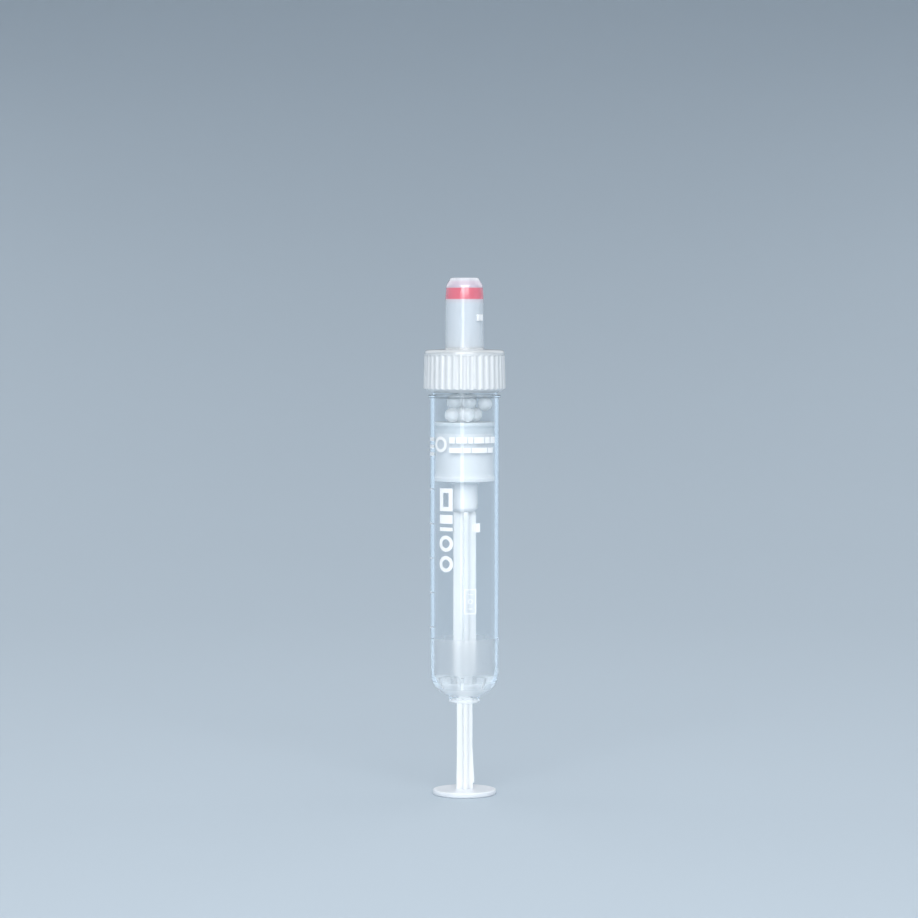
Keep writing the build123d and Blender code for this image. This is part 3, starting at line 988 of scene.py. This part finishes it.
# ---- Floor, lamps and camera ----------------------------------------------------------------
# A plain pale blue-grey cove all round, lit by soft panels in front, overhead and behind both
# sides, with a tall narrow lamp near the object for the line of light down its front.
cove_radius = 1.6
cove_bend = 1.2
cove_height = 1.6
eye = Vector((-1.2, -674, 103.75)) * mm
look_at = Vector((-1.2, 0, 73.05)) * mm
object_middle = (cad_low + cad_high) / 2


def cove_paper():
    """Matt pale paper, darker up the wall, with a painted glow: it emits light where it is seen
    through no more than one wall of clear plastic edge on."""
    material, nodes, links, shader = new_material("cove_paper")
    up_wall = ramp_between(nodes, links, height_of(nodes, links, point_on(nodes)), 0.0, 0.9)
    paper = tint(nodes, links, up_wall, (0.54, 0.62, 0.69), (0.31, 0.39, 0.47))
    links.new(paper, shader.inputs["Base Color"])
    shader.inputs["Roughness"].default_value = 0.9
    shader.inputs["Specular IOR Level"].default_value = 0.1
    # Painted glow: the paper emits light only for rays that reach it through one wall of clear
    # plastic, to brighten the tube's edges.
    path = nodes.new("ShaderNodeLightPath")
    one_wall = math_node(nodes, links, "LESS_THAN", path.outputs["Transmission Depth"], 2.5)
    edge_on = math_node(nodes, links, "MULTIPLY", one_wall, path.outputs["Is Transmission Ray"])
    edge_glow = math_node(nodes, links, "MULTIPLY", edge_on, 0.41)
    shader.inputs["Emission Color"].default_value = (0.52, 0.76, 1.0, 1)
    links.new(edge_glow, shader.inputs["Emission Strength"])
    return material


def cove():
    """A round floor that curves up into a wall. It stays under the thumb disc that stands on it."""
    floor_radius = cove_radius - cove_bend
    outline = [(0, ground), (floor_radius, ground)]
    for part in range(1, 13):
        swing = part / 12 * math.pi / 2
        reach = floor_radius + cove_bend * math.sin(swing)
        outline.append((reach, ground + cove_bend * (1 - math.cos(swing))))
    outline.append((cove_radius, ground + cove_height))
    shape = turned(outline, steps=96, closed=False)
    bmesh.ops.reverse_faces(shape, faces=shape.faces[:])
    mesh = bpy.data.meshes.new("cove")
    shape.to_mesh(mesh)
    shape.free()
    mesh.shade_smooth()
    mesh.materials.append(cove_paper())
    backdrop = bpy.data.objects.new("cove", mesh)
    bpy.context.scene.collection.objects.link(backdrop)
    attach(backdrop, "plunger")
    return backdrop


def panel_lamp(name, place, width, height, power, through_clear=True):
    """A rectangular soft lamp that faces the object and may be kept out of what clear plastic
    shows behind it."""
    lamp = bpy.data.lights.new(name, "AREA")
    lamp.shape = "RECTANGLE"
    lamp.size = width
    lamp.size_y = height
    lamp.energy = power
    holder = bpy.data.objects.new(name, lamp)
    holder.location = place
    holder.rotation_euler = (object_middle - holder.location).to_track_quat("-Z", "Y").to_euler()
    holder.visible_camera = False
    holder.visible_transmission = through_clear
    bpy.context.scene.collection.objects.link(holder)
    return holder


backdrop = cove()
tall_strip = panel_lamp("tall_strip", Vector((-0.05, -0.36, 0.10)), 0.085, 0.30, 0.16)
# The strip stands close by and would draw a bright line on the floor, so it skips the cove
unlit = bpy.data.collections.new("not_lit_by_the_strip")
unlit.objects.link(backdrop)
unlit.collection_objects[0].light_linking.link_state = "EXCLUDE"
tall_strip.light_linking.receiver_collection = unlit
panel_lamp("front_panel", Vector((0.02, -0.80, 0.50)), 0.90, 0.60, 6.4)
panel_lamp("top_panel", Vector((0.0, -0.10, 0.80)), 0.70, 0.70, 1.3)
panel_lamp("left_fill", Vector((-0.65, 0.55, 0.60)), 0.90, 0.90, 2.4, through_clear=False)
panel_lamp("right_fill", Vector((0.65, 0.55, 0.60)), 0.90, 0.90, 2.4, through_clear=False)

world = bpy.data.worlds.new("studio")
world.use_nodes = True
world.node_tree.nodes["Background"].inputs["Color"].default_value = (0.93, 0.96, 1.0, 1)
world.node_tree.nodes["Background"].inputs["Strength"].default_value = 0.40
bpy.context.scene.world = world

camera = bpy.data.cameras.new("camera")
camera.lens = 122
camera.sensor_width = 36
stand = bpy.data.objects.new("camera", camera)
stand.location = eye
stand.rotation_euler = (look_at - eye).to_track_quat("-Z", "Y").to_euler()
bpy.context.scene.collection.objects.link(stand)
bpy.context.scene.camera = stand
bpy.context.scene.view_settings.view_transform = "Standard"
